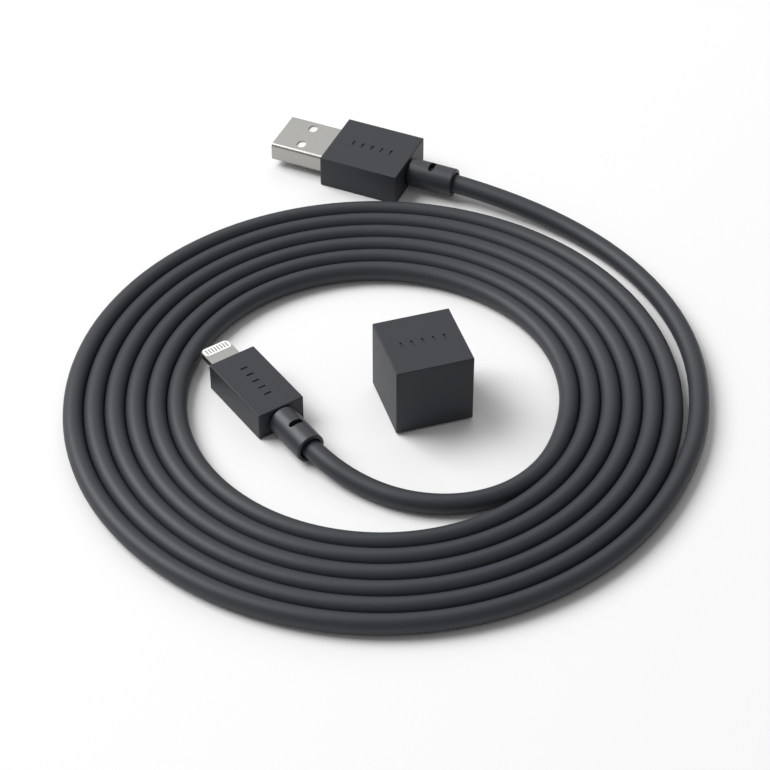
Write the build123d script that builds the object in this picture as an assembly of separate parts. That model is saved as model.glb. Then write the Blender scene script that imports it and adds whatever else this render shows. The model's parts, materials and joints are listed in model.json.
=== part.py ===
from build123d import *
from math import cos, radians, sin, tan
import os

# Coiled phone charging cable: a USB-A plug, an 8-contact reversible phone plug, the cable between
# them, and the small magnetic base cube that parks a plug on a desk.
#
# Frame: +Z up, z = 0 on the table. X = Y = 0 is the middle of the whole object's box, within 0.4 mm.
# Each plug is drawn in its own frame first: x = 0 at the housing's front face, +X towards the cable,
# z = 0 at half the housing's height. It is then turned and set down on the table.

# ---- cable and coil -------------------------------------------------------------------------
CABLE_D = 4.2            # outside diameter of the jacket
COIL_CENTRE = (-1.6, -13.3)
COIL_START_R = 64.85     # radius of the spiral's centreline at 0 degrees, before its first turn
COIL_GAP = 0.06          # air between turns that lie side by side
COIL_PITCH = CABLE_D + COIL_GAP
COIL_TURNS = 6           # full turns lying side by side
LEAD_JOIN_DEG = -30.0    # where the lead from the USB plug meets the outermost turn
TAIL_JOIN_DEG = -15.0    # where the innermost turn leaves for the phone plug
TAIL_CLEARANCE = 0.3     # room between the tail and the turn that it leaves

# ---- USB-A plug -----------------------------------------------------------------------------
USB_PLACE = (-11.8, 68.0)
USB_TURN = -23.48        # degrees, direction from the plug towards its cable
USB_LENGTH = 18.7
USB_WIDTH = 16.3
USB_HEIGHT = 7.6
USB_SHELL_WIDTH = 12.0
USB_SHELL_HEIGHT = 4.5
USB_SHELL_WALL = 0.3
USB_SHELL_BEND = 0.8     # outside radius of the shell's folded edges
USB_SHELL_REACH = 13.2   # how far the shell stands out of the housing
USB_SHELL_ROOT = 4.6     # how far it runs inside
USB_WINDOW = (2.0, 2.5)  # latch window, along and across the shell
USB_WINDOW_CORNER = 0.45  # corner radius as a share of the window's shorter side
USB_WINDOW_X = -6.9
USB_WINDOW_Y = 3.2
USB_TONGUE_THICK = 1.84
USB_TONGUE_SETBACK = 0.8
USB_CONTACT_PITCHES = (-3.5, -1.0, 1.0, 3.5)
USB_CONTACT_WIDTH = 1.0
USB_CONTACT_THICK = 0.2
USB_CONTACT_SETBACK = 1.2
USB_INNER_CONTACT_SETBACK = 1.1
USB_BLOCK_FRONT = -1.5   # where the insulator starts to fill the shell
USB_BLOCK_REAR = 1.0     # how far it stands out of the shell's root
USB_CONTACT_TAIL = 2.0   # how far the contacts stand out of the insulator
USB_WIRE_START = 0.4     # where the wires start on the contacts, behind the insulator
USB_MOULD_MARGIN = 1.0   # how much narrower the inner mould is than the shell

# ---- phone plug -----------------------------------------------------------------------------
PHONE_PLACE = (-32.16, -5.62)
PHONE_TURN = -55.59
PHONE_LENGTH = 19.1
PHONE_WIDTH = 10.8
PHONE_HEIGHT = 6.4
TAB_WIDTH = 6.7
TAB_THICK = 1.5
TAB_REACH = 7.3
TAB_ROOT = 3.0
TAB_CORNER = 1.2
TAB_PLATE_LENGTH = 2.4        # white contact plate, along the tab
TAB_PLATE_SIDE = 0.15         # metal beside the plate
TAB_PLATE_FRONT = 0.15        # metal in front of the plate
TAB_PLATE_CORNER = 0.9
TAB_PLATE_LIP = 0.35          # how far the plate laps over the metal around its window
TAB_PLATE_PROUD = 0.05
TAB_CONTACTS = 8
TAB_CONTACT_MARGIN = 0.29     # from the window's side to the first contact
TAB_CONTACT_SIZE = (1.5, 0.30, 0.15)
TAB_NOTCH_DEPTH = 0.3
TAB_NOTCH_X = -3.2
TAB_NOTCH_SIZE = (1.0, 1.0, 0.7)
TAB_SLOT_DEPTH = 1.2          # how deep the board sits in the tab's rear end
BOARD_SIZE = (8.0, 5.2, 0.6)
MOULD_MARGIN = 0.8            # how far the inner mould stands beside the board, on each side
CHIP_THICK = 0.7
CHIPS = ((2.5, 2.6, 1.0), (2.2, 2.0, -0.8))   # length, width and place across, one on each face
CHIP_SETBACK = 0.5
CAPACITORS = 4
CAPACITOR_SIZE = (0.4, 0.8, 0.4)
CAPACITOR_SETBACK = 0.6
CAPACITOR_PITCH = 0.75
CAPACITOR_Y = -1.6
WIRE_SPREAD = 0.2             # air between the wires where they meet the board
WIRE_ON_BOARD = 1.6

# ---- sleeves, walls and fits shared by both plugs ---------------------------------------------
HOUSING_WALL = 0.8
HOUSING_REAR_WALL = 1.6
HOUSING_EDGE = 0.2
FRONT_COVER = 1.0
SLEEVE_D = 6.4
SLEEVE_REACH = 11.0
SLEEVE_MOUTH_D = 4.9
SLEEVE_MOUTH_DEPTH = 2.2
SLEEVE_SLOT = (3.2, 1.25)     # round-ended relief slot, across and along the sleeve
SLEEVE_SLOT_X = 5.5
SLEEVE_NECK_D = 5.4
SLEEVE_FLANGE = 1.0
SLEEVE_FLANGE_SIDE = 0.6      # how far the flange stands beside the neck
JACKET_IN_SLEEVE = 7.0        # how deep the jacket sits in the sleeve, from its mouth
FERRULE_LENGTH = 1.8
FERRULE_WALL = 0.25
FERRULE_D = CABLE_D + 2 * FERRULE_WALL
WIRES = 4
WIRE_D = 0.9
CAN_WALL = 0.2
CAN_INSET = 0.5               # how far the shield can stays inside the ends of the mould
KEEPER_THICK = 0.5
KEEPER_INSET = 1.0
RIB_THICK = 0.8
FIT = 0.05                    # clearance between pieces that slide together

# ---- magnetic base cube -----------------------------------------------------------------------
CUBE_SIDE = 16.5
CUBE_PLACE = (7.41, -12.67)
CUBE_TURN = 17.41
CUBE_EDGE = 0.25
CUBE_WALL = 1.4
CUBE_TOP = 1.0
MAGNET_D = 12.0
MAGNET_THICK = 4.0
CUP_WALL = 0.7
CUBE_WEIGHT_HEIGHT = 5.5
CUBE_FLOOR_THICK = 1.5
SPACER_WALL = 2.75
CUBE_PAD_SIDE = 12.0
CUBE_PAD_THICK = 0.8
CUBE_PAD_STANDS = 0.3         # how far the pad stands below the cube's shell
SCREW_D = 2.0
SCREW_HEAD_D = 3.6
SCREW_HEAD_THICK = 0.9
SCREW_GRIP = 0.5              # how far each screw reaches into the weight
SCREW_OFFSET = 4.8

CABLE_R = CABLE_D / 2
BOTH = (-1, 1)
FROM_X = (Align.MIN, Align.CENTER, Align.CENTER)
FROM_Z = (Align.CENTER, Align.CENTER, Align.MIN)


# ---- small shapes -------------------------------------------------------------------------------
def bar(start, end, width, height, y=0.0, z=0.0):
    """A block from start to end along X, centred on y and z."""
    return Pos(start, y, z) * Box(end - start, width, height, align=FROM_X)


def slab(start, end, width, low, high, y=0.0):
    """A block from start to end along X that lies between two heights."""
    return bar(start, end, width, high - low, y, (low + high) / 2)


def rod(start, end, diameter, y=0.0, z=0.0):
    """A round bar along X."""
    return Pos(start, y, z) * Rot(0, 90, 0) * Cylinder(diameter / 2, end - start, align=FROM_Z)


def tube(start, end, outer, inner):
    """A round tube along X."""
    return rod(start, end, outer) - rod(start, end, inner)


def rounded_bar(start, end, width, height, radius):
    """A block along X with its four long edges rounded."""
    block = bar(start, end, width, height)
    return fillet(block.edges().filter_by(Axis.X), min(radius, 0.45 * min(width, height)))


def soften(block, radius):
    """Break every edge of a plain block by a small radius."""
    return fillet(block.edges(), radius)


def sweep_round(path, diameter):
    """A round section swept along a path of straight runs and tangent arcs."""
    start = Plane(origin=path @ 0, z_dir=path % 0)
    return sweep(start * Circle(diameter / 2), path=path)


# ---- cable routes -------------------------------------------------------------------------------
def spiral_radius(turns):
    """Centreline radius after a number of turns, counted clockwise from 0 degrees."""
    return COIL_START_R - COIL_PITCH * turns


def coil_point(radius, degrees):
    return (
        COIL_CENTRE[0] + radius * cos(radians(degrees)),
        COIL_CENTRE[1] + radius * sin(radians(degrees)),
        CABLE_R,
    )


def clockwise(degrees, distance):
    """A step along the clockwise tangent at an angle on the coil."""
    return (distance * sin(radians(degrees)), -distance * cos(radians(degrees)))


def on_plug_axis(place, turn, distance, height):
    """A point on a plug's axis, a distance from the housing's front face."""
    return (
        place[0] + distance * cos(radians(turn)),
        place[1] + distance * sin(radians(turn)),
        height / 2,
    )


def jacket_end(length):
    """Where the jacket ends inside a sleeve, in the plug's own frame."""
    return length + SLEEVE_REACH - JACKET_IN_SLEEVE


LEAD_CORNER_X = 38.0          # first bend of the lead, along the USB plug's axis
TAIL_CORNER_X = 33.4          # last bend of the tail, along the phone plug's axis
LEAD_END_RUN = 9.06           # straight run into the coil
TAIL_START_RUN = 6.0          # straight run out of the coil

LEAD_JOIN_R = spiral_radius(-LEAD_JOIN_DEG / 360)
TAIL_JOIN_R = spiral_radius(COIL_TURNS - TAIL_JOIN_DEG / 360)
lead_join = coil_point(LEAD_JOIN_R, LEAD_JOIN_DEG)
lead_step = clockwise(LEAD_JOIN_DEG, -LEAD_END_RUN)
tail_join = coil_point(TAIL_JOIN_R, TAIL_JOIN_DEG)
tail_step = clockwise(TAIL_JOIN_DEG, TAIL_START_RUN)

LEAD_POINTS = [
    on_plug_axis(USB_PLACE, USB_TURN, jacket_end(USB_LENGTH), USB_HEIGHT),
    on_plug_axis(USB_PLACE, USB_TURN, LEAD_CORNER_X, USB_HEIGHT),
    coil_point(70.1, 50),
    coil_point(69.05, 31),
    coil_point(67.95, 12),
    coil_point(66.35, -7),
    (lead_join[0] + lead_step[0], lead_join[1] + lead_step[1], CABLE_R),
    lead_join,
]
TAIL_POINTS = [
    tail_join,
    (tail_join[0] + tail_step[0], tail_join[1] + tail_step[1], CABLE_R),
    (29.99, -36.93, CABLE_R),
    (23.05, -42.65, CABLE_R),
    (13.97, -45.43, CABLE_R),
    (3.99, -44.47, CABLE_R),
    (-4.96, -40.01, CABLE_R),
    on_plug_axis(PHONE_PLACE, PHONE_TURN, TAIL_CORNER_X, PHONE_HEIGHT),
    on_plug_axis(PHONE_PLACE, PHONE_TURN, jacket_end(PHONE_LENGTH), PHONE_HEIGHT),
]


def route(points, name):
    """Straight runs joined by the largest tangent arcs that the runs allow."""
    corners = [Vector(*p) for p in points]
    radii = []
    for before, corner, after in zip(corners, corners[1:], corners[2:]):
        arriving, leaving = corner - before, after - corner
        shorter = min(arriving.length, leaving.length)
        half_turn = radians(arriving.get_angle(leaving)) / 2
        radii.append(0.45 * shorter / tan(half_turn))
    print(name, "arc radii", [round(r, 1) for r in radii])
    return FilletPolyline(*corners, radius=radii)


def cord_tube(points, name):
    path = route(points, name)
    solid = sweep_round(path, CABLE_D)
    section = Circle(CABLE_R).area
    ratio = solid.volume / (section * path.length)
    print(name, "length", round(path.length, 1), "volume ratio", round(ratio, 5))
    return solid


def two_centre_turn(start_radius, degrees):
    """One clockwise turn drawn as two half circles, each a half pitch smaller, closed by a step."""
    outward = Vector(cos(radians(degrees)), sin(radians(degrees)), 0)
    centre = Vector(*COIL_CENTRE, 0)
    side = Vector(outward.Y, -outward.X, 0)
    first_centre = centre + outward * (COIL_PITCH / 4)
    first_radius = start_radius - COIL_PITCH / 4
    second_centre = centre - outward * (COIL_PITCH / 4)
    second_radius = first_radius - COIL_PITCH / 2
    start = centre + outward * start_radius
    half_way = first_centre - outward * first_radius
    finish = second_centre + outward * second_radius
    return make_face([
        ThreePointArc(start, first_centre + side * first_radius, half_way).edge(),
        ThreePointArc(half_way, second_centre - side * second_radius, finish).edge(),
        Line(finish, start).edge(),
    ])


def coil_solid():
    """The whole coil as one flat ring: a spiral outside, a spiral inside, and a step at each join."""
    outside = two_centre_turn(LEAD_JOIN_R + CABLE_R, LEAD_JOIN_DEG)
    inside = two_centre_turn(TAIL_JOIN_R + COIL_PITCH - CABLE_R + TAIL_CLEARANCE, TAIL_JOIN_DEG)
    return extrude(outside, CABLE_D) - extrude(inside, CABLE_D)


# ---- pieces that both plugs share ---------------------------------------------------------------
def housing(length, width, height, rib_reach):
    """Outer shell: an open-fronted box with a round hole in its rear wall and two ribs in its roof."""
    shell = soften(bar(0, length, width, height), HOUSING_EDGE)
    rear = length - HOUSING_REAR_WALL
    room_width, room_height = width - 2 * HOUSING_WALL, height - 2 * HOUSING_WALL
    shell -= bar(0, rear, room_width, room_height)
    shell -= rod(rear, length, SLEEVE_NECK_D)
    flange_front = rear - SLEEVE_FLANGE
    shell -= rod(flange_front - FERRULE_LENGTH, flange_front, FERRULE_D + FIT)
    rib_x = (FRONT_COVER + rear) / 2
    start, end = rib_x - RIB_THICK / 2, rib_x + RIB_THICK / 2
    for side in BOTH:
        shell += slab(start, end, RIB_THICK, rib_reach, room_height / 2, side * room_width / 4)
    return shell


def front_cover(width, height, opening):
    """Plate that closes the housing's front around the metal of the plug."""
    return bar(0, FRONT_COVER, width - 2 * HOUSING_WALL, height - 2 * HOUSING_WALL) - opening


def sleeve(length, height):
    """Strain relief: a flange inside the housing, a neck through its wall, and a slotted sleeve."""
    rear = length - HOUSING_REAR_WALL
    mouth = length + SLEEVE_REACH
    flange_width = SLEEVE_NECK_D + 2 * SLEEVE_FLANGE_SIDE
    body = bar(rear - SLEEVE_FLANGE, rear, flange_width, height - 2 * HOUSING_WALL)
    body += rod(rear, length, SLEEVE_NECK_D)
    body += rod(length, mouth, SLEEVE_D)
    body -= rod(rear - SLEEVE_FLANGE, mouth, CABLE_D)
    body -= rod(mouth - SLEEVE_MOUTH_DEPTH, mouth, SLEEVE_MOUTH_D)
    slot_long, slot_wide = SLEEVE_SLOT
    slot = Pos(length + SLEEVE_SLOT_X, 0, 0) * extrude(
        Rot(0, 0, 90) * SlotOverall(slot_long, slot_wide), SLEEVE_D, both=True
    )
    return body - slot


def ferrule(length):
    """Crimp ring round the end of the braid, tight against the sleeve's flange."""
    end = length - HOUSING_REAR_WALL - SLEEVE_FLANGE
    return tube(end - FERRULE_LENGTH, end, FERRULE_D, CABLE_D)


def braid(length):
    """Stripped end of the cable in its shrink tube, from the ferrule to the jacket."""
    start = length - HOUSING_REAR_WALL - SLEEVE_FLANGE - FERRULE_LENGTH
    return rod(start, jacket_end(length), CABLE_D)


def wire(start_x, end_x, start_y, end_y, z):
    """One insulated wire that fans out from the cable to its contact."""
    third = (end_x - start_x) / 3
    fan_out = [(start_x + third, start_y, z), (end_x - third, end_y, z)]
    points = [(start_x, start_y, z), *fan_out, (end_x, end_y, z)]
    return sweep_round(FilletPolyline(*points, radius=third / 2), WIRE_D)


def wire_row(start_x, end_x, starts_y, z):
    """The four wires of a plug, side by side where the cable's braid ends."""
    ends_y = [(index - (WIRES - 1) / 2) * (WIRE_D + FIT) for index in range(WIRES)]
    return [wire(start_x, end_x, start_y, end_y, z) for start_y, end_y in zip(starts_y, ends_y)]


def keeper_plate(start, end, width, room_height):
    """Plate under the shield can, on the housing's floor."""
    low = -room_height / 2
    return slab(start + KEEPER_INSET, end - KEEPER_INSET, width, low, low + KEEPER_THICK)


def half_can(mould_start, mould_end, width, height, upper):
    """Half of a folded steel shield can: a roof and two side walls."""
    start, end = mould_start + CAN_INSET, mould_end - CAN_INSET
    low, high = (0, height / 2 + CAN_WALL) if upper else (-height / 2 - CAN_WALL, 0)
    inner_low, inner_high = (0, height / 2) if upper else (-height / 2, 0)
    outer = slab(start, end, width + 2 * CAN_WALL, low, high)
    return outer - slab(start, end, width, inner_low, inner_high)


# ---- USB-A plug ---------------------------------------------------------------------------------
def usb_plug():
    rear = USB_LENGTH - HOUSING_REAR_WALL
    wires_end = rear - SLEEVE_FLANGE - FERRULE_LENGTH
    room_height = USB_HEIGHT - 2 * HOUSING_WALL
    carrier_end = USB_SHELL_ROOT + USB_BLOCK_REAR
    mould_width = USB_SHELL_WIDTH - USB_MOULD_MARGIN
    mould_height = room_height - 2 * CAN_WALL - KEEPER_THICK * 2
    inner_width = USB_SHELL_WIDTH - 2 * USB_SHELL_WALL
    inner_height = USB_SHELL_HEIGHT - 2 * USB_SHELL_WALL
    inner_bend = USB_SHELL_BEND - USB_SHELL_WALL

    shell = rounded_bar(-USB_SHELL_REACH, USB_SHELL_ROOT, USB_SHELL_WIDTH, USB_SHELL_HEIGHT, USB_SHELL_BEND)
    shell -= rounded_bar(-USB_SHELL_REACH, USB_SHELL_ROOT, inner_width, inner_height, inner_bend)
    outline = RectangleRounded(*USB_WINDOW, USB_WINDOW_CORNER * min(USB_WINDOW))
    window = extrude(outline, USB_SHELL_HEIGHT, both=True)
    for side in BOTH:
        shell -= Pos(USB_WINDOW_X, side * USB_WINDOW_Y, 0) * window

    tongue_low = inner_height / 2 - USB_TONGUE_THICK
    tongue_tip = -USB_SHELL_REACH + USB_TONGUE_SETBACK
    tongue_width = inner_width - 2 * inner_bend
    tongue = slab(tongue_tip, USB_BLOCK_FRONT, tongue_width, tongue_low, inner_height / 2)
    tongue += slab(USB_BLOCK_FRONT, carrier_end, tongue_width, -inner_height / 2, inner_height / 2)

    low, high = tongue_low - USB_CONTACT_THICK / 2, tongue_low + USB_CONTACT_THICK / 2
    contacts = []
    for index, y in enumerate(USB_CONTACT_PITCHES):
        inset = USB_CONTACT_SETBACK + (USB_INNER_CONTACT_SETBACK if index in (1, 2) else 0)
        tail_end = carrier_end + USB_CONTACT_TAIL
        contacts.append(slab(tongue_tip + inset, tail_end, USB_CONTACT_WIDTH, low, high, y))
    wires = wire_row(carrier_end + USB_WIRE_START, wires_end, USB_CONTACT_PITCHES, low - WIRE_D / 2)
    for strip in contacts:
        tongue -= strip

    mould = slab(carrier_end, wires_end, mould_width, -mould_height / 2, mould_height / 2)
    for buried in contacts + wires:
        mould -= buried

    hole_width, hole_height = USB_SHELL_WIDTH + 2 * FIT, USB_SHELL_HEIGHT + 2 * FIT
    cover_hole = rounded_bar(0, FRONT_COVER, hole_width, hole_height, USB_SHELL_BEND)
    can_top = mould_height / 2 + CAN_WALL
    return {
        "usb_shell": shell,
        "usb_tongue": tongue,
        "usb_contacts": Compound(contacts),
        "usb_wires": Compound(wires),
        "usb_inner_mould": mould,
        "usb_shield_upper": half_can(carrier_end, wires_end, mould_width, mould_height, True),
        "usb_shield_lower": half_can(carrier_end, wires_end, mould_width, mould_height, False),
        "usb_keeper_plate": keeper_plate(carrier_end, wires_end, mould_width, room_height),
        "usb_front_cover": front_cover(USB_WIDTH, USB_HEIGHT, cover_hole),
        "usb_housing": housing(USB_LENGTH, USB_WIDTH, USB_HEIGHT, can_top),
        "usb_strain_relief": sleeve(USB_LENGTH, USB_HEIGHT),
        "usb_ferrule": ferrule(USB_LENGTH),
        "usb_braid_end": braid(USB_LENGTH),
    }


# ---- phone plug ---------------------------------------------------------------------------------
def phone_plug():
    rear = PHONE_LENGTH - HOUSING_REAR_WALL
    wires_end = rear - SLEEVE_FLANGE - FERRULE_LENGTH
    room_width = PHONE_WIDTH - 2 * HOUSING_WALL
    room_height = PHONE_HEIGHT - 2 * HOUSING_WALL
    plate_wide = TAB_WIDTH - 2 * TAB_PLATE_SIDE
    plate_x = -TAB_REACH + TAB_PLATE_FRONT + TAB_PLATE_LENGTH / 2
    window_long, window_wide = TAB_PLATE_LENGTH - 2 * TAB_PLATE_LIP, plate_wide - 2 * TAB_PLATE_LIP
    board_long, board_wide, board_thick = BOARD_SIZE

    frame = bar(-TAB_REACH, TAB_ROOT, TAB_WIDTH, TAB_THICK)
    tip_edges = frame.edges().filter_by(Axis.Z).group_by(Axis.X)[0]
    frame = fillet(tip_edges, TAB_CORNER)
    frame -= Pos(plate_x, 0, 0) * Box(window_long, window_wide, TAB_THICK)
    notch_y = (TAB_WIDTH + TAB_NOTCH_SIZE[1]) / 2 - TAB_NOTCH_DEPTH
    for side in BOTH:
        frame -= Pos(TAB_NOTCH_X, side * notch_y, 0) * Box(*TAB_NOTCH_SIZE)
    board_start = TAB_ROOT - TAB_SLOT_DEPTH
    frame -= slab(board_start, TAB_ROOT, board_wide, -board_thick / 2, board_thick / 2)

    plate_half = TAB_THICK / 2 + TAB_PLATE_PROUD
    lip = extrude(RectangleRounded(TAB_PLATE_LENGTH, plate_wide, TAB_PLATE_CORNER), TAB_PLATE_PROUD)
    plates = Pos(plate_x, 0, 0) * Box(window_long, window_wide, TAB_THICK)
    plates += Pos(plate_x, 0, TAB_THICK / 2) * lip
    plates += Pos(plate_x, 0, -plate_half) * lip
    bar_long, bar_wide, bar_thick = TAB_CONTACT_SIZE
    pitch = (window_wide - 2 * TAB_CONTACT_MARGIN - bar_wide) / (TAB_CONTACTS - 1)
    upper, lower = [], []
    for index in range(TAB_CONTACTS):
        y = (index - (TAB_CONTACTS - 1) / 2) * pitch
        upper.append(Pos(plate_x, y, plate_half - bar_thick / 2) * Box(bar_long, bar_wide, bar_thick))
        lower.append(Pos(plate_x, y, -plate_half + bar_thick / 2) * Box(bar_long, bar_wide, bar_thick))
    for pad in upper + lower:
        plates -= pad

    board_end = board_start + board_long
    board = slab(board_start, board_end, board_wide, -board_thick / 2, board_thick / 2)
    face = board_thick / 2
    chips = []
    for side, (chip_long, chip_wide, y) in zip((1, -1), CHIPS):
        start = TAB_ROOT + CHIP_SETBACK
        low, high = sorted((side * face, side * (face + CHIP_THICK)))
        chips.append(slab(start, start + chip_long, chip_wide, low, high, y))
    small_long, small_wide, small_high = CAPACITOR_SIZE
    small = []
    for index in range(CAPACITORS):
        x = TAB_ROOT + CAPACITOR_SETBACK + CAPACITOR_PITCH * index
        small.append(slab(x, x + small_long, small_wide, face, face + small_high, CAPACITOR_Y))
    spread = [(index - (WIRES - 1) / 2) * (WIRE_D + WIRE_SPREAD) for index in range(WIRES)]
    wires = wire_row(board_end - WIRE_ON_BOARD, wires_end, spread, face + WIRE_D / 2)

    mould_height = room_height - 2 * CAN_WALL - 2 * KEEPER_THICK
    mould_width = board_wide + 2 * MOULD_MARGIN
    can_top = mould_height / 2 + CAN_WALL
    mould = slab(TAB_ROOT, wires_end, mould_width, -mould_height / 2, mould_height / 2)
    for buried in [board] + chips + small + wires:
        mould -= buried

    cover_hole = bar(0, FRONT_COVER, TAB_WIDTH + 2 * FIT, TAB_THICK + 2 * FIT)
    seat = bar(FRONT_COVER, TAB_ROOT, room_width, room_height)
    seat -= bar(FRONT_COVER, TAB_ROOT, TAB_WIDTH, TAB_THICK)
    return {
        "phone_tab_frame": frame,
        "phone_contact_plate": plates,
        "phone_contacts_upper": Compound(upper),
        "phone_contacts_lower": Compound(lower),
        "phone_tab_seat": seat,
        "phone_circuit_board": board,
        "phone_chips": Compound(chips),
        "phone_capacitors": Compound(small),
        "phone_wires": Compound(wires),
        "phone_inner_mould": mould,
        "phone_shield_upper": half_can(TAB_ROOT, wires_end, mould_width, mould_height, True),
        "phone_shield_lower": half_can(TAB_ROOT, wires_end, mould_width, mould_height, False),
        "phone_keeper_plate": keeper_plate(TAB_ROOT, wires_end, mould_width, room_height),
        "phone_front_cover": front_cover(PHONE_WIDTH, PHONE_HEIGHT, cover_hole),
        "phone_housing": housing(PHONE_LENGTH, PHONE_WIDTH, PHONE_HEIGHT, can_top),
        "phone_strain_relief": sleeve(PHONE_LENGTH, PHONE_HEIGHT),
        "phone_ferrule": ferrule(PHONE_LENGTH),
        "phone_braid_end": braid(PHONE_LENGTH),
    }


# ---- magnetic base cube -------------------------------------------------------------------------
def base_cube():
    """Drawn with its middle on the Z axis and its pad on z = 0."""
    room = CUBE_SIDE - 2 * CUBE_WALL
    roof = CUBE_SIDE - CUBE_TOP
    cup_height = MAGNET_THICK + CUP_WALL
    weight_top = roof - cup_height
    weight_low = weight_top - CUBE_WEIGHT_HEIGHT
    low = CUBE_PAD_STANDS
    floor_top = low + CUBE_FLOOR_THICK

    def block(side, bottom, top):
        return Pos(0, 0, bottom) * Box(side, side, top - bottom, align=FROM_Z)

    def disc(diameter, bottom, top, x=0.0):
        return Pos(x, 0, bottom) * Cylinder(diameter / 2, top - bottom, align=FROM_Z)

    shell = soften(block(CUBE_SIDE, low, CUBE_SIDE), CUBE_EDGE) - block(room, low, roof)
    cup = disc(MAGNET_D + 2 * CUP_WALL, weight_top, roof) - disc(MAGNET_D, weight_top + CUP_WALL, roof)
    magnet = disc(MAGNET_D, weight_top + CUP_WALL, roof)
    weight = block(room - 2 * FIT, weight_low, weight_top)
    floor = block(room - 2 * FIT, low, floor_top) - block(CUBE_PAD_SIDE, low, CUBE_PAD_THICK)
    pad = block(CUBE_PAD_SIDE, 0, CUBE_PAD_THICK)
    spacer = block(room - 2 * FIT, floor_top, weight_low)
    spacer -= block(room - 2 * FIT - 2 * SPACER_WALL, floor_top, weight_low)
    head_top = floor_top + SCREW_HEAD_THICK
    screws = []
    for side in BOTH:
        at = side * SCREW_OFFSET
        head = disc(SCREW_HEAD_D, floor_top, head_top, at)
        screws.append(head + disc(SCREW_D, head_top, weight_low + SCREW_GRIP, at))
    for screw in screws:
        weight -= screw
        spacer -= screw
    return {
        "base_shell": shell,
        "base_magnet_cup": cup,
        "base_magnet": magnet,
        "base_weight": weight,
        "base_spacer": spacer,
        "base_screws": Compound(screws),
        "base_floor": floor,
        "base_pad": pad,
    }


# ---- assembly -----------------------------------------------------------------------------------
def build():
    usb_seat = Location((*USB_PLACE, USB_HEIGHT / 2), (0, 0, USB_TURN))
    phone_seat = Location((*PHONE_PLACE, PHONE_HEIGHT / 2), (0, 0, PHONE_TURN))
    cube_seat = Location((*CUBE_PLACE, 0), (0, 0, CUBE_TURN))
    nodes = {
        "cable_lead": cord_tube(LEAD_POINTS, "cable_lead"),
        "cable_coil": coil_solid(),
        "cable_tail": cord_tube(TAIL_POINTS, "cable_tail"),
    }
    for seat, pieces in ((usb_seat, usb_plug()), (phone_seat, phone_plug()), (cube_seat, base_cube())):
        for name, piece in pieces.items():
            nodes[name] = seat * piece
    return nodes


os.makedirs("parts", exist_ok=True)
for node, solid in build().items():
    export_step(solid, f"parts/{node}.step")
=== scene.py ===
import json
from math import atan2, cos, pi, radians, sin

import bmesh
import bpy
from bpy.props import FloatProperty, FloatVectorProperty, IntProperty, PointerProperty
from bpy.types import Operator, Panel, PropertyGroup
from mathutils import Matrix, Vector


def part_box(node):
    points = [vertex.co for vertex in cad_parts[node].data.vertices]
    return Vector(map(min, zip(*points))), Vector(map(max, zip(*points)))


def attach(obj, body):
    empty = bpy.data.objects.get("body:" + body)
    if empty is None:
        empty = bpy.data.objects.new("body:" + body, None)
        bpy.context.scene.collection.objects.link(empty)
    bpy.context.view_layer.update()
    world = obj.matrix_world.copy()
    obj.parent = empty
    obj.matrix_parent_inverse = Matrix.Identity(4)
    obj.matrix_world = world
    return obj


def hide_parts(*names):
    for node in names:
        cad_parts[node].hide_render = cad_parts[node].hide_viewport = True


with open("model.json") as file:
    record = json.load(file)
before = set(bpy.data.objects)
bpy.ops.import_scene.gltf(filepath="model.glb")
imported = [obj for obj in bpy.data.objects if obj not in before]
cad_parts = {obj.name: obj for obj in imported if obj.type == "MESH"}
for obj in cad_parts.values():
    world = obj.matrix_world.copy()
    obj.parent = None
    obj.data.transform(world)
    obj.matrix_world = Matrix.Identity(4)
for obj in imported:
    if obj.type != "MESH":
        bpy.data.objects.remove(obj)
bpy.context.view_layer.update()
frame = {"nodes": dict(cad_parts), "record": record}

bl_info = {
    "name": "Charging Cable",
    "version": (1, 0, 0),
    "blender": (4, 5, 0),
    "location": "View3D > Sidebar > Cable",
    "description": "A coiled charging cable with a USB-A plug, a phone plug and a magnetic base cube",
    "category": "Object",
}

MM = 0.001
WELD = 0.001 * MM          # points closer than this are one point
ROUND_END = 0.49           # corner radius of a round-ended slot, as a share of its width


# ---- places that come from the CAD model --------------------------------------------------------
def centre_of(node):
    """The middle of a CAD node's box."""
    low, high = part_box(node)
    return (low + high) / 2


class Seat:
    """The frame that a group of CAD pieces is drawn in: a place and a turn about Z."""

    def __init__(self, origin, turn):
        self.matrix = Matrix.Translation(origin) @ Matrix.Rotation(turn, 4, "Z")

    def at(self, x, y=0.0, z=0.0):
        return self.matrix @ Vector((x, y, z))

    def box(self, node):
        """A CAD node's lowest and highest corners in this frame."""
        inverse = self.matrix.inverted()
        points = [inverse @ vertex.co for vertex in frame["nodes"][node].data.vertices]
        low = Vector([min(point[i] for point in points) for i in range(3)])
        high = Vector([max(point[i] for point in points) for i in range(3)])
        return low, high


def plug_seat(plug):
    """x = 0 at the front of the plug's housing, +X towards the cable, z = 0 at half its height."""
    middle = centre_of(f"{plug}_housing")
    along = centre_of(f"{plug}_braid_end") - middle
    turn = atan2(along.y, along.x)
    low, _ = Seat(middle, turn).box(f"{plug}_housing")
    return Seat(Seat(middle, turn).at(low.x), turn)


def cube_seat():
    """The cube's middle on the table, with +Y along one of its sides."""
    points = [vertex.co for vertex in frame["nodes"]["base_floor"].data.vertices]
    side = max(points, key=lambda p: p.y) - max(points, key=lambda p: p.x)
    middle = centre_of("base_shell")
    return Seat(Vector((middle.x, middle.y, 0.0)), atan2(side.y, side.x) - pi / 2)


USB = plug_seat("usb")
PHONE = plug_seat("phone")
CUBE = cube_seat()
CABLE_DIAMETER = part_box("cable_coil")[1].z


# ---- what a user would change -------------------------------------------------------------------
def length(name, default, description):
    return FloatProperty(name=name, default=default, description=description, min=0.0,
                         precision=5, unit="LENGTH", subtype="DISTANCE")


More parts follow.
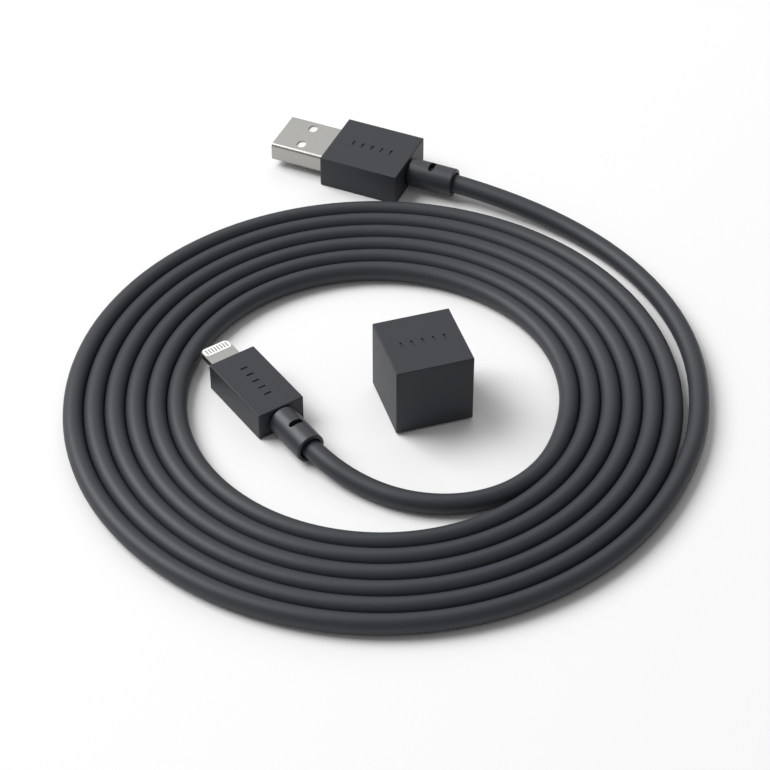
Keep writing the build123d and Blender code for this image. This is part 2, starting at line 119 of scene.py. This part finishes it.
def colour(name, default, description):
    return FloatVectorProperty(name=name, default=default, description=description, size=3,
                               min=0.0, max=1.0, subtype="COLOR")


def share(name, default, description):
    return FloatProperty(name=name, default=default, description=description, min=0.0, max=1.0,
                         subtype="FACTOR")


class CableSettings(PropertyGroup):
    diameter: length("Diameter", CABLE_DIAMETER, "Outside diameter of the jacket")
    turn_gap: length("Turn Gap", 0.00006, "Air between turns that lie side by side")
    start_radius: length("Start Radius", 0.06485, "Radius of the outermost turn at the right-hand side")
    real_length: length("Length", 2.14, "Length of the cable between its plugs")
    turns: IntProperty(name="Turns", default=6, min=1, description="Turns in the flat coil")
    points_per_turn: IntProperty(name="Points per Turn", default=24, min=12,
                                 description="Control points for each turn of the coil")
    jacket_colour: colour("Jacket", (0.0240, 0.0280, 0.0350), "Colour of the jacket")
    jacket_roughness: share("Jacket Roughness", 0.54, "Roughness of the jacket")


class PlugSettings(PropertyGroup):
    edge: length("Edge Radius", 0.00024, "Radius on the outside edges of both housings and the cube")
    mark_width: length("Mark Width", 0.00050, "Width of one stroke of the pressed mark")
    mark_height: length("Mark Height", 0.0017, "Length of one stroke of the pressed mark")
    mark_depth: length("Mark Depth", 0.00022, "Depth of the pressed mark")
    mark_pitch: length("Mark Pitch", 0.0023, "Distance from one stroke to the next")
    mark_strokes: IntProperty(name="Strokes", default=5, min=1, description="Strokes in the pressed mark")
    housing_colour: colour("Housing", (0.0245, 0.0272, 0.0340), "Colour of the housings and the cube")
    housing_roughness: share("Housing Roughness", 0.50, "Roughness of the housings and the cube")
    steel_colour: colour("Steel", (0.40, 0.397, 0.378), "Colour of the plated steel")
    steel_roughness: share("Steel Roughness", 0.34, "Roughness of the plated steel")


class StageSettings(PropertyGroup):
    floor_colour: colour("Floor", (0.90, 0.90, 0.90), "Colour of the floor")
    sky_strength: FloatProperty(name="Sky", default=0.30, min=0.0, description="Strength of the plain sky")
    key_power: FloatProperty(name="Key Light", default=50.0, min=0.0, unit="POWER",
                             description="Power of the large soft light on the left")
    rear_power: FloatProperty(name="Rear Light", default=5.4, min=0.0, unit="POWER",
                              description="Power of the large soft light behind the object")
    lens: FloatProperty(name="Lens", default=118.9, min=1.0, unit="CAMERA", description="Focal length")
    distance: length("Distance", 0.5298, "Distance from the camera to the point that it looks at")
    elevation: FloatProperty(name="Elevation", default=radians(42.08), unit="ROTATION", subtype="ANGLE",
                             description="Angle of the camera above the table")


class CableObjectSettings(PropertyGroup):
    cable: PointerProperty(type=CableSettings)
    plugs: PointerProperty(type=PlugSettings)
    stage: PointerProperty(type=StageSettings)


def settings():
    """The sizes and colours that the user can change."""
    return bpy.context.scene.charging_cable


# ---- shader nodes -------------------------------------------------------------------------------
MIX_FACTOR, MIX_FIRST, MIX_SECOND, MIX_RESULT = 0, 6, 7, 2   # sockets of a Mix node set to colour


class Signal:
    """A value that varies over a surface. Arithmetic on it adds Math nodes."""

    def __init__(self, finish, socket):
        self.finish = finish
        self.socket = socket

    def maths(self, operation, first, second):
        return self.finish.node("ShaderNodeMath", {"operation": operation}, {0: first, 1: second})

    def __add__(self, other):
        return self.maths("ADD", self, other)

    def __mul__(self, other):
        return self.maths("MULTIPLY", self, other)

    __radd__ = __add__
    __rmul__ = __mul__


class Finish:
    """A material under construction around one Principled shader."""

    def __init__(self, name, **numbers):
        self.material = bpy.data.materials.new(name)
        self.material.use_nodes = True
        self.tree = self.material.node_tree
        self.tree.nodes.clear()
        self.shader = self.tree.nodes.new("ShaderNodeBsdfPrincipled")
        output = self.tree.nodes.new("ShaderNodeOutputMaterial")
        self.tree.links.new(self.shader.outputs[0], output.inputs[0])
        for socket, value in numbers.items():
            self.feed(self.shader.inputs[socket.replace("_", " ")], value)

    def feed(self, socket, value):
        if isinstance(value, Signal):
            self.tree.links.new(value.socket, socket)
        elif socket.type == "RGBA":
            socket.default_value = (*value, 1.0) if len(value) == 3 else value
        else:
            socket.default_value = value

    def node(self, kind, choices, inputs, output=0):
        """Add a node: its choices are set first, then the values or links of its sockets."""
        made = self.tree.nodes.new(kind)
        for name, value in choices.items():
            setattr(made, name, value)
        for name, value in inputs.items():
            self.feed(made.inputs[name], value)
        return Signal(self, made.outputs[output])

    def place(self):
        return self.node("ShaderNodeTexCoord", {}, {}, "Object")

    def stretched(self, turn, scale):
        """Object coordinates turned about Z and scaled along each axis, for a directional pattern."""
        turned = self.node("ShaderNodeMapping", {}, {"Vector": self.place(), "Rotation": (0.0, 0.0, -turn)})
        return self.node("ShaderNodeMapping", {}, {"Vector": turned, "Scale": scale})

    def noise(self, scale, detail, where=None):
        inputs = {"Vector": where or self.place(), "Scale": scale, "Detail": detail, "Roughness": 0.5}
        return self.node("ShaderNodeTexNoise", {}, inputs)

    def blend(self, factor, first, second):
        """Mix two colours."""
        made = self.tree.nodes.new("ShaderNodeMix")
        made.data_type = "RGBA"
        self.feed(made.inputs[MIX_FACTOR], factor)
        self.feed(made.inputs[MIX_FIRST], first)
        self.feed(made.inputs[MIX_SECOND], second)
        return Signal(self, made.outputs[MIX_RESULT])

    def bump(self, height, depth):
        return self.node("ShaderNodeBump", {}, {"Strength": 1.0, "Distance": depth, "Height": height})

    def wear(self, **signals):
        """Connect what varies over the surface to the shader."""
        for socket, value in signals.items():
            self.feed(self.shader.inputs[socket.replace("_", " ")], value)
        return self.material


# Patterns: grain and relief in metres, clouds and streaks per metre, tones as shares of the colour, and
# gloss as the range of roughness that each pattern adds.
MOULD_GRAIN = 0.00035
MOULD_RELIEF = 0.000012
MOULD_CLOUDS = 120.0
MOULD_TONES = (0.88, 1.12)
MOULD_GLOSS = (0.10, 0.06)
SHEET_STREAKS = (160.0, 5200.0, 5200.0)    # along and across the direction of rolling
SHEET_RELIEF = 0.000002
SHEET_CLOUDS = 260.0
SHEET_TONES = (0.90, 1.08)
SHEET_GLOSS = (0.14, 0.10)
SLEEVE_GLOSS = 0.06        # how much smoother the sleeves are than the housings
TAB_TONE = 0.94


def shade(rgb, factor):
    return tuple(min(1.0, channel * factor) for channel in rgb)


def moulded(name, rgb, roughness, grain=MOULD_GRAIN, relief=MOULD_RELIEF, **numbers):
    """A moulded plastic or rubber with a fine grain and slightly uneven colour."""
    finish = Finish(name, **numbers)
    fine = finish.noise(1.0 / grain, 3.0)
    broad = finish.noise(MOULD_CLOUDS, 2.0)
    darker, lighter = (shade(rgb, tone) for tone in MOULD_TONES)
    tone = finish.blend(broad * 0.6 + fine * 0.4, darker, lighter)
    gloss = fine * MOULD_GLOSS[0] + broad * MOULD_GLOSS[1] + (roughness - sum(MOULD_GLOSS) / 2)
    return finish.wear(Base_Color=tone, Roughness=gloss, Normal=finish.bump(fine, relief))


def plated(name, rgb, roughness, turn=0.0):
    """Rolled sheet metal with faint streaks along its length."""
    finish = Finish(name, Metallic=1.0)
    streaks = finish.noise(1.0, 4.0, finish.stretched(turn, SHEET_STREAKS))
    cloud = finish.noise(SHEET_CLOUDS, 2.0)
    darker, lighter = (shade(rgb, tone) for tone in SHEET_TONES)
    tone = finish.blend(streaks * 0.5 + cloud * 0.5, darker, lighter)
    gloss = streaks * SHEET_GLOSS[0] + cloud * SHEET_GLOSS[1] + (roughness - sum(SHEET_GLOSS) / 2)
    return finish.wear(Base_Color=tone, Roughness=gloss, Normal=finish.bump(streaks, SHEET_RELIEF))


def finishes():
    """One material for each material slot of the record."""
    cable, plugs = settings().cable, settings().plugs
    usb_turn = USB.matrix.to_euler().z
    phone_turn = PHONE.matrix.to_euler().z
    dark = tuple(plugs.housing_colour)
    steel = tuple(plugs.steel_colour)
    return {
        "cable_jacket": moulded("soft_touch_jacket", tuple(cable.jacket_colour), cable.jacket_roughness,
                                grain=0.0006, relief=0.000006),
        "charcoal_housing": moulded("charcoal_housing", dark, plugs.housing_roughness,
                                    Specular_IOR_Level=0.4),
        "sleeve_rubber": moulded("sleeve_rubber", dark, plugs.housing_roughness - SLEEVE_GLOSS,
                                 grain=0.0005),
        "plug_steel": plated("plug_steel", steel, plugs.steel_roughness, usb_turn),
        "tab_metal": plated("tab_metal", shade(steel, TAB_TONE), plugs.steel_roughness, phone_turn),
        "shield_steel": plated("shield_steel", (0.55, 0.56, 0.57), 0.40),
        "weight_steel": plated("weight_steel", (0.25, 0.25, 0.26), 0.55),
        "screw_steel": plated("screw_steel", (0.55, 0.55, 0.56), 0.35),
        "magnet_nickel": plated("magnet_nickel", (0.66, 0.66, 0.65), 0.16),
        "ferrule_brass": plated("ferrule_brass", (0.70, 0.55, 0.30), 0.32),
        "contact_metal": plated("contact_metal", (0.30, 0.30, 0.29), 0.34, phone_turn),
        "white_insulator": moulded("white_insulator", (0.85, 0.85, 0.84), 0.35),
        "contact_plate_white": moulded("contact_plate_white", (0.95, 0.95, 0.94), 0.28, relief=0.000003),
        "inner_mould": moulded("inner_mould", (0.72, 0.72, 0.69), 0.50),
        "wire_insulation": moulded("wire_insulation", (0.45, 0.05, 0.04), 0.35),
        "board_green": moulded("board_green", (0.03, 0.14, 0.07), 0.35),
        "chip_black": moulded("chip_black", (0.02, 0.02, 0.02), 0.50),
        "capacitor_tan": moulded("capacitor_tan", (0.36, 0.24, 0.13), 0.40),
        "pad_rubber": moulded("pad_rubber", (0.020, 0.020, 0.022), 0.75, grain=0.0006),
    }


def finish_for(slot):
    """The finish made for a material slot."""
    found = bpy.data.materials.get(bpy.context.scene.get("finish_" + slot, ""))
    if found is None:
        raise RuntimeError(f"make the finishes before the pieces: {slot} is missing")
    return found


# ---- shapes -------------------------------------------------------------------------------------
X, Z = 0, 2                # axes
MARK_STEPS = 4             # segments in a rounded corner, by where it is
EDGE_STEPS = 3
CORNER_STEPS = 8
BAR_STEPS = 48             # segments round a full circle
TURN_STEPS = 72
SHARP_OVER = radians(35)   # a larger angle between faces shows as an edge


def block(low, high):
    """A plain block between two corners, to be rounded or carved."""
    bm = bmesh.new()
    low, high = Vector(low), Vector(high)
    place = Matrix.Translation((low + high) / 2) @ Matrix.Diagonal((*(high - low), 1.0))
    bmesh.ops.create_cube(bm, size=1.0, matrix=place)
    return bm


def edges_along(bm, axis):
    """The edges that run along an axis."""
    return [e for e in bm.edges if abs((e.verts[0].co - e.verts[1].co).normalized()[axis]) > 0.99]


def round_edges(bm, edges, radius, segments):
    bmesh.ops.bevel(bm, geom=edges, offset=radius, offset_type="OFFSET", segments=segments,
                    profile=0.5, affect="EDGES", material=-1, clamp_overlap=True)
    return bm


def rounded_block(low, high, radius, axis, segments):
    """A block whose four edges along one axis are rounded."""
    bm = block(low, high)
    return round_edges(bm, edges_along(bm, axis), radius, segments)


def round_bar(x, radius, depth):
    """A round bar along the X axis, with its middle at x."""
    bm = bmesh.new()
    place = Matrix.Translation((x, 0.0, 0.0)) @ Matrix.Rotation(pi / 2, 4, "Y")
    bmesh.ops.create_cone(bm, cap_ends=True, segments=BAR_STEPS, radius1=radius, radius2=radius,
                          depth=depth, matrix=place)
    return bm


def joined(shapes):
    """Several separate shapes as one bmesh."""
    whole = bmesh.new()
    for bm in shapes:
        mesh = bpy.data.meshes.new("part")
        bm.to_mesh(mesh)
        bm.free()
        whole.from_mesh(mesh)
        bpy.data.meshes.remove(mesh)
    return whole


def carve(bm, tool):
    """Cut a shape with another."""
    made = []
    for shape in (bm, tool):
        mesh = bpy.data.meshes.new("carving")
        shape.to_mesh(mesh)
        shape.free()
        made.append(bpy.data.objects.new("carving", mesh))
        bpy.context.scene.collection.objects.link(made[-1])
    modifier = made[0].modifiers.new("carve", "BOOLEAN")
    modifier.operation, modifier.solver, modifier.object = "DIFFERENCE", "EXACT", made[1]
    result = bmesh.new()
    result.from_object(made[0], bpy.context.evaluated_depsgraph_get())
    for shape in made:
        bpy.data.meshes.remove(shape.data)
    bmesh.ops.remove_doubles(result, verts=result.verts, dist=WELD)
    return result


def turned(profile):
    """A closed outline of (x, radius) points turned about the X axis."""
    bm = bmesh.new()
    corners = [bm.verts.new((x, 0.0, radius)) for x, radius in profile]
    sides = [bm.edges.new(pair) for pair in zip(corners, corners[1:] + corners[:1])]
    bmesh.ops.spin(bm, geom=corners + sides, cent=(0, 0, 0), axis=(1, 0, 0), dvec=(0, 0, 0),
                   angle=2 * pi, steps=TURN_STEPS, use_merge=True, use_duplicate=False)
    bmesh.ops.remove_doubles(bm, verts=bm.verts, dist=WELD)
    bmesh.ops.recalc_face_normals(bm, faces=bm.faces)
    return bm


def arc(x, radius, size, start, end, steps):
    """Points of a rounded corner of an outline, from one angle to another in degrees."""
    angles = [radians(start + (end - start) * i / steps) for i in range(steps + 1)]
    return [(x + size * cos(a), radius + size * sin(a)) for a in angles]


def make_piece(name, bm, seat, body, slot, nodes):
    """Put a finished shape in its place on a CAD body, in the finish of its slot."""
    bm.transform(seat.matrix)
    mesh = bpy.data.meshes.new(name)
    bm.to_mesh(mesh)
    bm.free()
    mesh.materials.append(finish_for(slot))
    mesh.shade_smooth()
    mesh.set_sharp_from_angle(angle=SHARP_OVER)
    piece = bpy.data.objects.new(name, mesh)
    bpy.context.scene.collection.objects.link(piece)
    flat = piece.modifiers.new("flat_faces", "WEIGHTED_NORMAL")
    flat.keep_sharp = True
    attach(piece, body)
    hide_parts(*nodes)
    return piece


def pressed_mark(middle_x, top):
    """A plain row of strokes, each a round-ended slot pressed into a top face."""
    plugs = settings().plugs
    strokes = []
    for index in range(plugs.mark_strokes):
        offset = (index - (plugs.mark_strokes - 1) / 2) * plugs.mark_pitch
        middle = Vector((middle_x + offset, 0.0, top))
        half = Vector((plugs.mark_width / 2, plugs.mark_height / 2, plugs.mark_depth))
        corner = ROUND_END * plugs.mark_width
        strokes.append(rounded_block(middle - half, middle + half, corner, Z, MARK_STEPS))
    return joined(strokes)


# ---- the cable ----------------------------------------------------------------------------------
COIL_CENTRE = Vector((-0.0016, -0.0133, 0.0))
LEAD_START = 0.0227        # where the jacket ends inside the USB plug's sleeve, from the housing's front
LEAD_CORNER = 0.038        # first bend of the lead, on the USB plug's axis
LEAD_BENDS = ((0.0701, 50), (0.06905, 31), (0.06795, 12), (0.06635, -7))  # radius and degrees on the coil
COIL_START_DEG = -22       # where the outermost turn takes over from the bends of the lead
TAIL_JOIN_DEG = -15        # where the innermost turn ends
TAIL_START_RUN = 0.006     # straight run out of the innermost turn
TAIL_BENDS = ((0.02999, -0.03693), (0.02305, -0.04265), (0.01397, -0.04543), (0.00399, -0.04447),
              (-0.00496, -0.04001))
TAIL_CORNER = 0.0334       # last bend of the tail, on the phone plug's axis
TAIL_END = 0.0231          # where the jacket ends inside the phone plug's sleeve
CORD_STEPS = 6             # segments between two points of the route
CORD_ROUNDNESS = 10


def coil_radius(degrees):
    """Centreline radius at an angle counted clockwise from the right-hand side, from 0 degrees down."""
    cable = settings().cable
    return cable.start_radius + (cable.diameter + cable.turn_gap) * degrees / 360


def on_coil(radius, degrees):
    height = Vector((0.0, 0.0, settings().cable.diameter / 2))
    return COIL_CENTRE + height + radius * Vector((cos(radians(degrees)), sin(radians(degrees)), 0.0))


def cable_route():
    """Control points of the whole cable, from the USB plug to the phone plug."""
    cable = settings().cable
    points = [USB.at(LEAD_START), USB.at(LEAD_CORNER)]
    points += [on_coil(radius, degrees) for radius, degrees in LEAD_BENDS]
    step = 360 / cable.points_per_turn
    bulge = 4 / (3 + cos(radians(step)))   # a spline of order 3 runs inside its control points
    last = TAIL_JOIN_DEG - 360 * cable.turns
    degrees = COIL_START_DEG
    while degrees > last + step / 4:
        points.append(on_coil(coil_radius(degrees) * bulge, degrees))
        degrees -= step
    leaving = radians(TAIL_JOIN_DEG)
    tangent = Vector((sin(leaving), -cos(leaving), 0.0))
    points.append(on_coil(coil_radius(last), TAIL_JOIN_DEG) + TAIL_START_RUN * tangent)
    points += [Vector((x, y, cable.diameter / 2)) for x, y in TAIL_BENDS]
    points += [PHONE.at(TAIL_CORNER), PHONE.at(TAIL_END)]
    return points


class CABLE_OT_finishes(Operator):
    """Make one material for each finish and give every CAD piece its own"""

    bl_idname = "cable.make_finishes"
    bl_label = "Finishes"

    def execute(self, context):
        for slot, material in finishes().items():
            context.scene["finish_" + slot] = material.name
        for row in frame["record"]["subparts"]:
            piece = frame["nodes"][row["node"]]
            piece.data.materials.clear()
            piece.data.materials.append(finish_for(row["material_slot"]))
        return {"FINISHED"}


class CABLE_OT_cord(Operator):
    """Lay the cable from the USB plug round its flat coil to the phone plug"""

    bl_idname = "cable.make_cord"
    bl_label = "Cable"

    def execute(self, context):
        cable = settings().cable
        route = cable_route()
        curve = bpy.data.curves.new("charging_cord", "CURVE")
        curve.dimensions = "3D"
        curve.resolution_u = CORD_STEPS
        curve.bevel_depth = cable.diameter / 2
        curve.bevel_resolution = CORD_ROUNDNESS
        curve.use_fill_caps = True
        spline = curve.splines.new("NURBS")
        spline.points.add(len(route) - 1)
        for point, place in zip(spline.points, route):
            point.co = (*place, 1.0)
        spline.order_u = 3
        spline.use_endpoint_u = True
        spline.use_smooth = True
        curve.materials.append(finish_for("cable_jacket"))
        cord = bpy.data.objects.new("charging_cord", curve)
        context.scene.collection.objects.link(cord)
        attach(cord, "root")
        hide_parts("cable_lead", "cable_coil", "cable_tail")
        mouth = USB.box("usb_strain_relief")[1].x
        USB.at(mouth)
        return {"FINISHED"}


# ---- plugs --------------------------------------------------------------------------------------
WALL = 0.8 * MM            # housing walls
REAR_WALL = 1.6 * MM
NECK_RADIUS = 2.7 * MM     # sleeve, where it passes through the housing's rear wall
ROOT_GAP = 0.15 * MM       # shadow gap between the housing and the sleeve
SHOULDER = 0.55 * MM       # radii on the sleeve's root, its rim and the lip of its mouth
RIM = 0.30 * MM
LIP = 0.08 * MM
SHOULDER_STEPS = 6
MOUTH_RADIUS = 2.45 * MM
MOUTH_DEPTH = 2.2 * MM
BORE_GAP = 0.01 * MM
SLOT_LONG = 3.2 * MM       # relief slot
SLOT_WIDE = 1.25 * MM
SLOT_X = 5.5 * MM
FOLD = 0.8 * MM            # outside radius of the steel shell's folds
FOLD_WALL = 0.3 * MM
WINDOW = (2.0 * MM, 2.5 * MM)     # latch windows, along and across the shell
WINDOW_AT = (-6.9 * MM, 3.2 * MM)
WINDOW_CORNER = 0.9 * MM
WINDOW_STEPS = 6
SEAM = 0.05 * MM           # half the gap where the folded steel meets
SEAM_DEPTH = 0.6 * FOLD_WALL
PLATE_LIP = 0.35 * MM      # how far the contact plate laps over the tab
TAB_CORNER = 1.2 * MM
TAB_EDGE = 0.06 * MM
TAB_EDGE_STEPS = 2
NOTCH_X = -3.2 * MM        # latch notches in the tab's sides
NOTCH_DEEP = 0.3 * MM
NOTCH_HALF = Vector((0.5 * MM, 0.5 * MM, 0.35 * MM))
NOTCH_CORNER = 0.2 * MM
CUBE_WALL = 1.4 * MM


def housing_shape(seat, node):
    """Crisp outer shell: hollow, open at its front, with a round hole for the sleeve's neck."""
    plugs = settings().plugs
    low, high = seat.box(node)
    shell = block(low, high)
    shell = round_edges(shell, list(shell.edges), plugs.edge, EDGE_STEPS)
    wall = Vector((0.0, WALL, WALL))
    room = block(low + wall - Vector((MM, 0.0, 0.0)), high - wall - Vector((REAR_WALL, 0.0, 0.0)))
    shell = carve(shell, room)
    shell = carve(shell, round_bar(high.x, NECK_RADIUS, 3 * REAR_WALL))
    return carve(shell, pressed_mark((low.x + high.x) / 2, high.z))


def sleeve_shape(seat, plug):
    """Strain relief: a neck inside the housing, and a slotted sleeve with a soft rim."""
    low, high = seat.box(f"{plug}_strain_relief")
    _, shell = seat.box(f"{plug}_housing")
    bore = settings().cable.diameter / 2 + BORE_GAP
    outer = high.z
    mouth = high.x - MOUTH_DEPTH
    outline = [(low.x, bore), (low.x, NECK_RADIUS), (shell.x + ROOT_GAP, NECK_RADIUS)]
    outline += arc(shell.x + ROOT_GAP + SHOULDER, outer - SHOULDER, SHOULDER, 180, 90, SHOULDER_STEPS)
    outline += arc(high.x - RIM, outer - RIM, RIM, 90, 0, SHOULDER_STEPS)
    outline += arc(high.x - LIP, MOUTH_RADIUS + LIP, LIP, 0, -90, EDGE_STEPS)
    outline += [(mouth, MOUTH_RADIUS), (mouth, bore)]
    sleeve = turned(outline)
    middle = Vector((shell.x + SLOT_X, 0.0, 0.0))
    half = Vector((SLOT_WIDE / 2, SLOT_LONG / 2, 2 * outer))
    slot = rounded_block(middle - half, middle + half, ROUND_END * SLOT_WIDE, Z, CORNER_STEPS)
    return carve(sleeve, slot)


class CABLE_OT_usb_plug(Operator):
    """Make the USB plug: folded steel shell, charcoal housing and slotted strain relief"""

    bl_idname = "cable.make_usb_plug"
    bl_label = "USB Plug"

    def execute(self, context):
        low, high = USB.box("usb_shell")
        skin = Vector((0.0, FOLD_WALL, FOLD_WALL))
        ends = Vector((MM, 0.0, 0.0))
        shell = rounded_block(low, high, FOLD, X, CORNER_STEPS)
        room = rounded_block(low + skin - ends, high - skin + ends, FOLD - FOLD_WALL, X, CORNER_STEPS)
        shell = carve(shell, room)
        windows = []
        for side in (-1, 1):
            middle = Vector((WINDOW_AT[0], side * WINDOW_AT[1], 0.0))
            half = Vector((WINDOW[0] / 2, WINDOW[1] / 2, high.z + MM))
            windows.append(rounded_block(middle - half, middle + half, WINDOW_CORNER, Z, WINDOW_STEPS))
        shell = carve(shell, joined(windows))
        seam_top = low.z + SEAM_DEPTH
        shell = carve(shell, block((low.x - MM, -SEAM, low.z - MM), (high.x + MM, SEAM, seam_top)))
        shell_piece = make_piece("usb_shell_folded", shell, USB, "root", "plug_steel", ["usb_shell"])
        housing = housing_shape(USB, "usb_housing")
        housing_piece = make_piece("usb_housing_moulding", housing, USB, "root", "charcoal_housing",
                                   ["usb_housing"])
        sleeve = sleeve_shape(USB, "usb")
        sleeve_piece = make_piece("usb_sleeve_slotted", sleeve, USB, "root", "sleeve_rubber",
                                  ["usb_strain_relief"])
        for piece in (shell_piece, housing_piece, sleeve_piece):
            piece["on_cord"] = True
        return {"FINISHED"}


class CABLE_OT_phone_plug(Operator):
    """Make the phone plug: plated tab, charcoal housing and slotted strain relief"""

    bl_idname = "cable.make_phone_plug"
    bl_label = "Phone Plug"

    def execute(self, context):
        low, high = PHONE.box("phone_tab_frame")
        plate_low, plate_high = PHONE.box("phone_contact_plate")
        tab = block(low, high)
        tip = [e for e in edges_along(tab, Z) if e.verts[0].co.x < (low.x + high.x) / 2]
        tab = round_edges(tab, tip, TAB_CORNER, CORNER_STEPS)
        rims = [e for e in tab.edges if abs(e.verts[0].co.z - e.verts[1].co.z) < WELD
                and (e.verts[0].co.x + e.verts[1].co.x) / 2 < high.x - WELD]
        tab = round_edges(tab, rims, TAB_EDGE, TAB_EDGE_STEPS)
        window = block((plate_low.x + PLATE_LIP, plate_low.y + PLATE_LIP, low.z - MM),
                       (plate_high.x - PLATE_LIP, plate_high.y - PLATE_LIP, high.z + MM))
        tab = carve(tab, window)
        for side in (-1, 1):
            middle = Vector((NOTCH_X, side * (high.y + NOTCH_HALF.y - NOTCH_DEEP), 0.0))
            notch = rounded_block(middle - NOTCH_HALF, middle + NOTCH_HALF, NOTCH_CORNER, Z, EDGE_STEPS)
            tab = carve(tab, notch)
        tab_piece = make_piece("phone_tab_plated", tab, PHONE, "root", "tab_metal", ["phone_tab_frame"])
        housing = housing_shape(PHONE, "phone_housing")
        housing_piece = make_piece("phone_housing_moulding", housing, PHONE, "root", "charcoal_housing",
                                   ["phone_housing"])
        sleeve = sleeve_shape(PHONE, "phone")
        sleeve_piece = make_piece("phone_sleeve_slotted", sleeve, PHONE, "root", "sleeve_rubber",
                                  ["phone_strain_relief"])
        for piece in (tab_piece, housing_piece, sleeve_piece):
            piece["on_cord"] = True
        return {"FINISHED"}


class CABLE_OT_base_cube(Operator):
    """Make the magnetic base cube's shell with its pressed mark"""

    bl_idname = "cable.make_base_cube"
    bl_label = "Base Cube"

    def execute(self, context):
        low, high = CUBE.box("base_shell")
        shell = block(low, high)
        shell = round_edges(shell, list(shell.edges), settings().plugs.edge, EDGE_STEPS)
        wall = Vector((CUBE_WALL, CUBE_WALL, 0.0))
        room = block(low + wall - Vector((0.0, 0.0, MM)), high - wall - Vector((0.0, 0.0, MM)))
        shell = carve(shell, room)
        shell = carve(shell, pressed_mark(0.0, high.z))
        make_piece("base_shell_moulding", shell, CUBE, "base_cube", "charcoal_housing", ["base_shell"])
        return {"FINISHED"}


# ---- stage --------------------------------------------------------------------------------------
LOOK_AT = Vector((-0.0003, -0.00775, 0.0))
FLOOR_SIDE = 12.0
FLOOR_DROP = 0.00005
FLOOR_ROUGHNESS = 0.9
SENSOR_WIDTH = 36.0
KEY_PLACE = (-1.32, 0.53, 1.58)
KEY_SIDE = 1.5
REAR_PLACE = (0.15, 1.30, 1.15)
REAR_SIDE = 1.4


def soft_light(name, place, size, power):
    """A square area light that points at the origin."""
    light = bpy.data.lights.new(name, "AREA")
    light.shape, light.size, light.energy = "SQUARE", size, power
    lamp = bpy.data.objects.new(name, light)
    lamp.location = place
    lamp.rotation_euler = (-Vector(place)).to_track_quat("-Z", "Y").to_euler()
    bpy.context.scene.collection.objects.link(lamp)


class CABLE_OT_stage(Operator):
    """Make the plain pale floor, the soft studio light and the camera"""

    bl_idname = "cable.make_stage"
    bl_label = "Stage"

    def execute(self, context):
        stage = settings().stage
        scene = context.scene
        scene.view_settings.view_transform = "Standard"
        bm = bmesh.new()
        bmesh.ops.create_grid(bm, x_segments=1, y_segments=1, size=FLOOR_SIDE / 2,
                              matrix=Matrix.Translation((0.0, 0.0, -FLOOR_DROP)))
        mesh = bpy.data.meshes.new("floor")
        bm.to_mesh(mesh)
        bm.free()
        matt = Finish("floor", Base_Color=tuple(stage.floor_colour), Roughness=FLOOR_ROUGHNESS,
                      Specular_IOR_Level=0.0)
        mesh.materials.append(matt.material)
        floor = bpy.data.objects.new("floor", mesh)
        scene.collection.objects.link(floor)

        world = bpy.data.worlds.new("plain_sky")
        scene.world = world
        world.use_nodes = True
        sky = world.node_tree.nodes["Background"]
        sky.inputs["Color"].default_value = (1.0, 1.0, 1.0, 1.0)
        sky.inputs["Strength"].default_value = stage.sky_strength
        soft_light("key_light", KEY_PLACE, KEY_SIDE, stage.key_power)
        soft_light("rear_light", REAR_PLACE, REAR_SIDE, stage.rear_power)

        camera = bpy.data.objects.new("camera", bpy.data.cameras.new("camera"))
        camera.data.lens = stage.lens
        camera.data.sensor_width = SENSOR_WIDTH
        back = Vector((0.0, -cos(stage.elevation), sin(stage.elevation)))
        camera.location = LOOK_AT + back * stage.distance
        camera.rotation_euler = (pi / 2 - stage.elevation, 0.0, 0.0)
        scene.collection.objects.link(camera)
        scene.camera = camera
        return {"FINISHED"}


class CABLE_PT_pieces(Panel):
    """Lists the pieces of the charging cable and their settings"""

    bl_label = "Charging Cable"
    bl_idname = "CABLE_PT_pieces"
    bl_space_type = "VIEW_3D"
    bl_region_type = "UI"
    bl_category = "Cable"

    def draw(self, context):
        for step in STEPS:
            self.layout.operator(step.bl_idname)
        for group in (settings().cable, settings().plugs, settings().stage):
            box = self.layout.box()
            for name in group.__annotations__:
                box.prop(group, name)


STEPS = (CABLE_OT_finishes, CABLE_OT_usb_plug, CABLE_OT_phone_plug, CABLE_OT_base_cube, CABLE_OT_cord,
         CABLE_OT_stage)
CLASSES = (CableSettings, PlugSettings, StageSettings, CableObjectSettings, *STEPS, CABLE_PT_pieces)


def register():
    for made in CLASSES:
        bpy.utils.register_class(made)
    bpy.types.Scene.charging_cable = PointerProperty(type=CableObjectSettings)


def unregister():
    del bpy.types.Scene.charging_cable
    for made in reversed(CLASSES):
        bpy.utils.unregister_class(made)


def main():
    register()
    bpy.ops.cable.make_finishes()
    bpy.ops.cable.make_usb_plug()
    bpy.ops.cable.make_phone_plug()
    bpy.ops.cable.make_base_cube()
    bpy.ops.cable.make_cord()
    bpy.ops.cable.make_stage()


if __name__ == "__main__":
    main()
